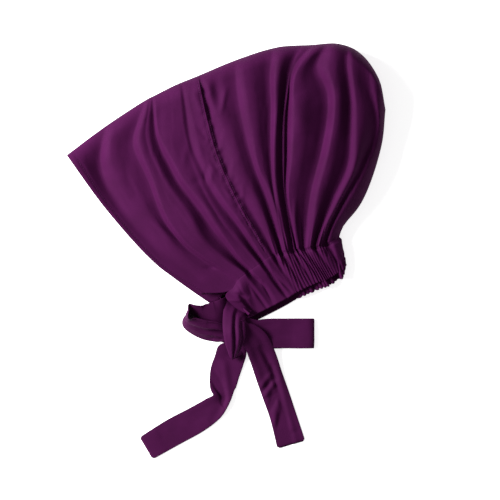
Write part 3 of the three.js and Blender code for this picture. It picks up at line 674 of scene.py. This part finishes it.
def finish_piece(piece, material, *nodes, slot):
    """Gives a piece its material, smooth shading and its place in the model, and hides the imported parts that
    it stands for.
    """
    piece.data.materials.clear()
    piece.data.materials.append(material)
    take(piece)
    bpy.ops.object.shade_smooth()
    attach(piece, "root")
    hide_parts(*nodes)
    return piece


def even(low, high, count):
    """Even steps from low to high, count of them."""
    return np.linspace(low, high, count + 1)


def steps_into_turn(low, turn, count, turn_count):
    """Steps from low to 1 that crowd together where the cloth turns over."""
    flat = even(low, 1 - turn, count)
    angles = even(0, math.pi / 2, turn_count)[1:]
    return np.concatenate([flat, 1 - turn + turn * np.sin(angles)])


def up_and_over(upper, lower):
    """Ways up the upper side and back along the table side, and the layer of each."""
    ways = np.concatenate([upper, lower[:-1][::-1]])
    layers = np.concatenate([np.ones(len(upper)), -np.ones(len(lower) - 1)])
    return ways, layers


TUCK = 0.06  # how far each panel reaches down inside the casing, and how deep it tucks in
TUCK_DEPTH = 1.2 * MM
# The cloth's own measure for its knit, in metres to one whole way along and up.
CUT_ALONG = 0.8
CUT_UP = 0.8 * CAP_HEIGHT


def panel(name, steps, upper_ways, lower_ways):
    """A panel that runs up the upper side from inside the casing, over the crown and back below."""
    upper_ways, lower_ways = (np.concatenate([[-TUCK, -TUCK / 3], w]) for w in (upper_ways, lower_ways))
    ways, layers = up_and_over(upper_ways, lower_ways)
    lengths = np.concatenate([[0], np.cumsum(np.abs(np.diff(ways)))]) * CUT_UP

    def shape(column, row):
        at, way, layer = steps[column], ways[row], layers[row]
        places = wall(at, way, layer)
        places[:, 2] -= layer * TUCK_DEPTH * smooth(-2 * way / TUCK - 1)
        return places, np.stack([at * CUT_ALONG, lengths[row]], axis=1)
    return grid_piece(name, len(steps) - 1, len(ways) - 1, shape)


def linear(code):
    """A linear colour from an sRGB hex code."""
    parts = [int(code[k:k + 2], 16) / 255 for k in (1, 3, 5)]
    return tuple(p / 12.92 if p <= 0.04045 else ((p + 0.055) / 1.055) ** 2.4 for p in parts) + (1.0,)


def node(tree, kind, settings=None, **links):
    """Adds a node, sets its properties and its sockets, and joins the sockets it is fed from."""
    made = tree.nodes.new(kind)
    for name, value in (settings or {}).items():
        setattr(made, name, value)
    for name, value in links.items():
        socket = made.inputs[name.replace("_", " ")]
        if isinstance(value, bpy.types.NodeSocket):
            tree.links.new(value, socket)
        else:
            socket.default_value = value
    return made


def new_material(name):
    """An empty material and its node tree."""
    made = bpy.data.materials.new(name)
    made.use_nodes = True
    tree = made.node_tree
    tree.nodes.clear()
    return made, tree


CLOUD_SIZE = 35.7 * MM
WALE_SPACING = 1.963 * MM  # about three times a real one's, so that it shows
NAP_SIZE = 1.43 * MM  # coarser than real, for the same reason
PLY_SIZE = 0.556 * MM
WAVE_BANDS = 20 / (2 * math.pi)  # bands of a wave texture to one unit at a scale of 1


def viscose_jersey(name, deep, body, bright):
    """Viscose jersey, a fine weft knit, piece-dyed: a smooth face with a soft satin sheen
    along the folds, a slightly cloudy dye and wales that show only close up."""
    made, tree = new_material(name)
    place = node(tree, "ShaderNodeTexCoord")
    clouds = node(tree, "ShaderNodeTexNoise", Vector=place.outputs["Object"],
                  Scale=1 / CLOUD_SIZE, Detail=4.0, Roughness=0.6)
    dye = node(tree, "ShaderNodeValToRGB", Fac=clouds.outputs["Fac"])
    dye.color_ramp.elements[0].position = 0.3
    dye.color_ramp.elements[0].color = linear(deep)
    dye.color_ramp.elements[1].position = 0.72
    dye.color_ramp.elements[1].color = linear(bright)
    middle = dye.color_ramp.elements.new(0.5)
    middle.color = linear(body)
    wales = node(tree, "ShaderNodeTexWave", {"wave_type": "BANDS", "bands_direction": "X"},
                 Vector=place.outputs["UV"], Scale=1 / (WALE_SPACING * WAVE_BANDS), Distortion=0.6,
                 Detail=1.0)
    nap = node(tree, "ShaderNodeTexNoise", Vector=place.outputs["Object"], Scale=1 / NAP_SIZE, Detail=2.0)
    knit = node(tree, "ShaderNodeBump", Height=wales.outputs["Fac"], Strength=0.05, Distance=0.4 * MM)
    relief = node(tree, "ShaderNodeBump", Height=nap.outputs["Fac"], Strength=0.15, Distance=0.4 * MM,
                  Normal=knit.outputs["Normal"])
    shader = node(tree, "ShaderNodeBsdfPrincipled", Base_Color=dye.outputs["Color"],
                  Normal=relief.outputs["Normal"], Roughness=0.7, IOR=1.45,
                  Specular_IOR_Level=0.03, Sheen_Weight=0.02, Sheen_Roughness=0.5,
                  Sheen_Tint=linear("#A02890"))
    node(tree, "ShaderNodeOutputMaterial", Surface=shader.outputs["BSDF"])
    return made


def spun_thread(name, body):
    """Spun polyester sewing thread, dyed to match: a little smoother than the jersey, with its
    two plies twisted round each other."""
    made, tree = new_material(name)
    place = node(tree, "ShaderNodeTexCoord")
    plies = node(tree, "ShaderNodeTexNoise", Vector=place.outputs["Object"], Scale=1 / PLY_SIZE, Detail=2.0)
    twist = node(tree, "ShaderNodeBump", Height=plies.outputs["Fac"], Strength=0.3, Distance=0.2 * MM)
    shader = node(tree, "ShaderNodeBsdfPrincipled", Base_Color=linear(body), Normal=twist.outputs["Normal"],
                  Roughness=0.5, IOR=1.5, Specular_IOR_Level=0.15)
    node(tree, "ShaderNodeOutputMaterial", Surface=shader.outputs["BSDF"])
    return made


panel_cloth = viscose_jersey("viscose_jersey_plum", deep="#370D31", body="#3B0E35", bright="#3F1039")
casing_cloth = viscose_jersey("viscose_jersey_ruched", deep="#360D30", body="#3B0E35", bright="#3F1039")
tie_cloth = viscose_jersey("viscose_jersey_pressed", deep="#360D30", body="#3A0E34", bright="#3E1038")
thread = spun_thread("spun_polyester_thread", body="#481242")

# The face panel, from the face edge to the seam.
FACE_COLUMNS = 170
FACE_ROWS = 190
FACE_LOWER_ROWS = 30
TURN_ROWS = 12

face_panel = panel("face_panel_cloth", even(0, SEAM_AT, FACE_COLUMNS),
                   steps_into_turn(0, CROWN_TURN, FACE_ROWS, TURN_ROWS),
                   steps_into_turn(0, CROWN_TURN, FACE_LOWER_ROWS, TURN_ROWS))
thicken(face_panel, CLOTH_THICKNESS)
finish_piece(face_panel, panel_cloth, "face_panel", slot="panel_cloth")

# The back panel, a pouch from the seam to the centre back.
BACK_COLUMNS = 232
BACK_ROWS = 150
BACK_LOWER_ROWS = 22

back_panel = panel("back_panel_cloth", steps_into_turn(SEAM_AT, BACK_TURN, BACK_COLUMNS, TURN_ROWS),
                   steps_into_turn(0, CROWN_TURN, BACK_ROWS, TURN_ROWS),
                   steps_into_turn(0, CROWN_TURN, BACK_LOWER_ROWS, TURN_ROWS))
merge_doubles(back_panel)
thicken(back_panel, CLOTH_THICKNESS)
finish_piece(back_panel, panel_cloth, "back_panel", slot="panel_cloth")

# The casing at the nape, ruched over its elastic.
CASING_COLUMNS = 420
CASING_ROWS = 34
CASING_LAP = 0.034  # how far the casing's top edge dips to meet the panels, and how deep
LAP_DEPTH = 0.9 * MM
CASING_CUT_STEP = 0.4 * MM  # cloth between two columns
CASING_CUT_WIDTH = 30 * MM


def casing_shape(column, row):
    """The casing's band, along the upper side to the centre back and back along the table side."""
    upper = steps_into_turn(CASING_FROM, BACK_TURN, CASING_COLUMNS, TURN_ROWS)
    at, layer = up_and_over(upper, upper)
    at, layer = at[column], layer[column]
    way = -1 + row / CASING_ROWS
    way = np.minimum(way, -STEP)
    curl = ARC_REACH * np.sin(math.pi * np.sqrt(-way)) * (1 - smooth((at - CASING_FROM) / KNOT_LIFT_REACH))
    places = wall(at - np.where(layer > 0, curl, 0), way, layer)
    places[:, 2] -= layer * LAP_DEPTH * (1 - smooth(-way / CASING_LAP))
    return places, np.stack([column * CASING_CUT_STEP, -way * CASING_CUT_WIDTH], axis=1)


casing = grid_piece("nape_casing_cloth", 2 * (CASING_COLUMNS + TURN_ROWS), CASING_ROWS, casing_shape)
thicken(casing, CLOTH_THICKNESS)
finish_piece(casing, casing_cloth, "nape_casing", slot="casing_cloth")

# Rows of lockstitch along the seam, the hem and the casing, drawn coarser than real ones so
# that they show.
STITCH_PITCH = 2.6 * MM
STITCH_LENGTH = 1.9 * MM
THREAD_DIAMETER = 0.5 * MM
THREAD_PROUD = 0.35  # how far a stitch's middle lies above the cloth, as a share of its thread


def stitch_row(name, at, way):
    """A row of stitches on the upper side, along a line given as many places on the cloth."""
    line = wall(at, way, np.ones(len(at)))
    run = np.concatenate([[0], np.cumsum(np.linalg.norm(np.diff(line, axis=0), axis=1))])
    starts = np.arange(STITCH_PITCH, run[-1] - STITCH_PITCH, STITCH_PITCH)
    first, last = (np.stack([np.interp(starts + add, run, line[:, k]) for k in range(3)], axis=1)
                   for add in (0, STITCH_LENGTH))
    deselect()
    bpy.ops.mesh.primitive_uv_sphere_add(segments=6, ring_count=5, radius=0.5)
    piece = bpy.context.active_object
    piece.name = piece.data.name = name
    flat = np.empty(len(piece.data.vertices) * 3)
    piece.data.vertices.foreach_get("co", flat)
    stitch = flat.reshape(-1, 3)
    faces = [tuple(face.vertices) for face in piece.data.polygons]
    lengthways = unit(last - first)
    sideways = unit(np.cross(lengthways, [0, 0, 1]))
    upwards = np.cross(sideways, lengthways)
    middle = (first + last) / 2 + upwards * THREAD_DIAMETER * THREAD_PROUD
    places = (middle[:, None] + lengthways[:, None] * stitch[None, :, 2:] * STITCH_LENGTH
              + sideways[:, None] * stitch[None, :, :1] * THREAD_DIAMETER
              + upwards[:, None] * stitch[None, :, 1:2] * THREAD_DIAMETER)
    count = len(stitch)
    every = [tuple(v + k * count for v in face) for k in range(len(starts)) for face in faces]
    piece.data.clear_geometry()
    piece.data.from_pydata(places.reshape(-1, 3).tolist(), [], every)
    piece.data.update()
    return finish_piece(piece, thread, slot="panel_cloth")


LINE_PLACES = 400
NEAR_CROWN = 0.97


def from_to(low, high):
    """Even places along a row of stitches."""
    return np.linspace(low, high, LINE_PLACES)


seam_stitches = [stitch_row(f"seam_stitches_{side}", np.full(LINE_PLACES, SEAM_AT + SEAM_WIDTH * off),
                            from_to(0.03, NEAR_CROWN))
                 for side, off in SEAM_ROWS.items()]
hem_stitches = stitch_row("face_edge_stitches", np.full(LINE_PLACES, HEM_WIDTH * HEM_STITCHED_AT),
                          from_to(0.02, NEAR_CROWN))
casing_stitches = stitch_row("casing_stitches", from_to(0.5, 0.97), np.full(LINE_PLACES, STITCHED_WAY))


ROOT_SHARE = 0.94  # a tie's width where it leaves the casing, as a share of the casing's end
ROOT_INSET = 1.8 * MM
ROOT_GAP = 0.35 * MM


def tie_route(layer, route):
    """The rows of a tie's route with its root row first, and the way it sets off."""
    at, side = np.array([CASING_FROM]), np.array([layer])
    rim = wall(at, np.array([-STEP]), side)[0]
    foot = wall(at, np.array([-1.0]), side)[0]
    rim[2] -= ROOT_INSET * layer
    foot[2] -= ROOT_INSET * layer
    knot = np.array([CAP_LEFT + KNOT_AT[0] * CAP_LENGTH, CAP_TOP - KNOT_AT[1] * CAP_HEIGHT, 0])
    onward = unit(np.array([foot[1] - rim[1], rim[0] - foot[0], 0]))
    across = (foot - rim) * layer
    centre = (rim + foot) / 2 + onward * ROOT_GAP - knot
    length = np.linalg.norm(across)
    root = [centre[0] / BOW_REACH, centre[1] / BOW_REACH, centre[2] / KNOT_HEIGHT,
            ROOT_SHARE * length / TIE_WIDTH, math.degrees(math.atan2(across[1], across[0])),
            math.degrees(math.asin(across[2] / length)), 0, 0, 0]
    return knot, onward, np.array([root] + route)


AROUND = 56  # faces round a tie's tube
END_STEEPNESS = 30  # the tube closes at each end within one row divided by this
END_REACH = 0.14  # how far from its end a tail's corners are rounded off, in rows
END_ROUND = 0.16  # and the share of its width that goes there
TIE_RIDGES = 2.7  # half waves of a tie's pleats from its middle to its edge
TIE_RIDGE_DRIFT = 0.25  # how fast they wander across it from row to row
TIE_UNEVENNESS = 0.25
TIE_TABLE_GAP = 0.1 * MM
TIE_CUT_STEP = 30 * MM  # cloth between two rows of a route
SAME_ROW = 0.1  # a crease whose ends are nearer than this runs straight across the tie


def tie_creases(table, k, share):
    """The short creases of a tie, in metres."""
    out = np.zeros(k.shape)
    for k_0, share_0, k_1, share_1, half, rise in table:
        middle = np.clip((k - k_0) / (k_1 - k_0 + 1e-6), 0, 1)
        if abs(k_1 - k_0) < SAME_ROW:
            off, fade = (k - k_0) / half, 1
        else:
            off = (share - mix(share_0, share_1, middle)) / half
            fade = np.sin(math.pi * middle) ** 0.6
        out += rise * np.exp(-off * off) * fade
    return out * MM


def tie_piece(name, layer, route, crease_table, rings):
    """A pressed tube of cloth swept along its route."""
    knot, root_onward, rows = tie_route(layer, route)
    last = len(rows) - 1

    def value(column, k):
        return curve_through(np.arange(last + 1), rows[:, TIE_COLUMNS.index(column)], k)

    def place(k):
        return knot + np.stack([value("x", k) * BOW_REACH, value("y", k) * BOW_REACH,
                                value("z", k) * KNOT_HEIGHT], axis=1)

    def shape(column, row):
        k = row / rings * last
        onward = unit(place(np.minimum(k + STEP, last)) - place(np.maximum(k - STEP, 0)))
        onward[k <= 0] = root_onward
        heading, tip = np.radians(value("heading", k)), np.radians(value("tip", k))
        wide = np.stack([np.cos(heading), np.sin(heading), np.tan(tip)], axis=1)
        wide = unit(wide - onward * np.sum(wide * onward, axis=1, keepdims=True))
        outward = np.cross(onward, wide)
        angle = column / AROUND * 2 * math.pi
        share = np.cos(angle)
        side = np.round(np.sin(angle), 9)
        ends = np.clip(np.minimum(k, last - k) * END_STEEPNESS, 0, 1)
        swell = np.sqrt(np.abs(side)) * np.sign(side) * np.sqrt(1 - (1 - ends) ** 2)
        corner = 1 - np.clip((last - k) / END_REACH, 0, 1)
        half = TIE_WIDTH / 2 * value("wide", k) * (1 - END_ROUND * corner ** 4)
        bowed = value("bow", k) * (1 - share * share)
        creased = value("crease", k) / 2 * np.cos(share * math.pi)
        ridged = value("ridge", k) * np.cos(share * TIE_RIDGES * math.pi + 0.6 + TIE_RIDGE_DRIFT * k)
        uneven = TIE_UNEVENNESS * soft_noise(share * 2.3 + 20, k * 1.4, seed=31)
        rise = MM * (bowed - creased + ridged + uneven) + tie_creases(crease_table, k, share)
        rise *= np.sign(outward[:, 2] + 1e-9)
        middle = place(k) + wide * (share * half)[:, None] + outward * rise[:, None]
        point = middle + outward * (swell * TIE_THICKNESS / 2)[:, None]
        least = TIE_TABLE_GAP + (swell * outward[:, 2] > 0) * TIE_THICKNESS * 0.9
        point[:, 2] = np.maximum(point[:, 2], least)
        return point, np.stack([share * TIE_WIDTH / 2, k * TIE_CUT_STEP], axis=1)
    made = grid_piece(name, AROUND, rings, shape)
    merge_doubles(made, distance=2e-5)
    return made


left_tie = tie_piece("left_loop_tie_cloth", -1, LEFT_LOOP_TIE, LEFT_TIE_CREASES, rings=360)
finish_piece(left_tie, tie_cloth, "left_loop_tie", slot="tie_cloth")
right_tie = tie_piece("right_loop_tie_cloth", 1, RIGHT_LOOP_TIE, RIGHT_TIE_CREASES, rings=420)
finish_piece(right_tie, tie_cloth, "right_loop_tie", slot="tie_cloth")


FLOOR_SIZE = 8.0


def stage():
    """A plain pale floor, large enough to fill the view. Its paper glows with painted light, an emission that
    keeps the shadows cast on it pale and lights the cap a little from below.
    """
    deselect()
    bpy.ops.mesh.primitive_plane_add(size=FLOOR_SIZE, location=(0, 0, 0))
    floor = bpy.context.active_object
    floor.name = "floor"
    made, tree = new_material("glowing_white_paper")
    # Painted light: the emission makes the paper glow, so that shadows falling on it stay pale.
    shader = node(tree, "ShaderNodeBsdfPrincipled", Base_Color=linear("#F4F3F4"), Roughness=0.9,
                  Emission_Color=(1, 1, 1, 1), Emission_Strength=0.74)
    node(tree, "ShaderNodeOutputMaterial", Surface=shader.outputs["BSDF"])
    floor.data.materials.append(made)


CAMERA_HEIGHT = 4.0
VIEW_CENTRE = (26.4 * MM, 2.2 * MM)
VIEW_WIDTH = 550 * MM
FILM_WIDTH = 36.0


def camera():
    """A long lens straight above the cap, as in the photograph."""
    data = bpy.data.cameras.new("camera")
    data.sensor_width = FILM_WIDTH
    data.lens = data.sensor_width * CAMERA_HEIGHT / VIEW_WIDTH
    made = bpy.data.objects.new("camera", data)
    made.location = (*VIEW_CENTRE, CAMERA_HEIGHT)
    bpy.context.collection.objects.link(made)
    bpy.context.scene.camera = made


def softbox(name, place, size, power):
    """A square area light that faces the cap."""
    data = bpy.data.lights.new(name, "AREA")
    data.size = size
    data.energy = power
    made = bpy.data.objects.new(name, data)
    made.location = place
    x, y, z = (-value for value in place)
    made.rotation_euler = (math.atan2(math.hypot(x, y), -z), 0, math.atan2(y, x) - math.pi / 2)
    bpy.context.collection.objects.link(made)


ROOM_LIGHT = 0.27


def lights():
    """One large softbox low on the face edge's side, and a white room around."""
    softbox("key_softbox", place=(-1.65, 0.4, 1.04), size=0.95, power=118)
    world = bpy.data.worlds.new("studio")
    world.use_nodes = True
    room = world.node_tree.nodes["Background"]
    room.inputs["Color"].default_value = (1, 1, 1, 1)
    room.inputs["Strength"].default_value = ROOM_LIGHT
    bpy.context.scene.world = world
    bpy.context.scene.view_settings.view_transform = "Standard"


stage()
camera()
lights()
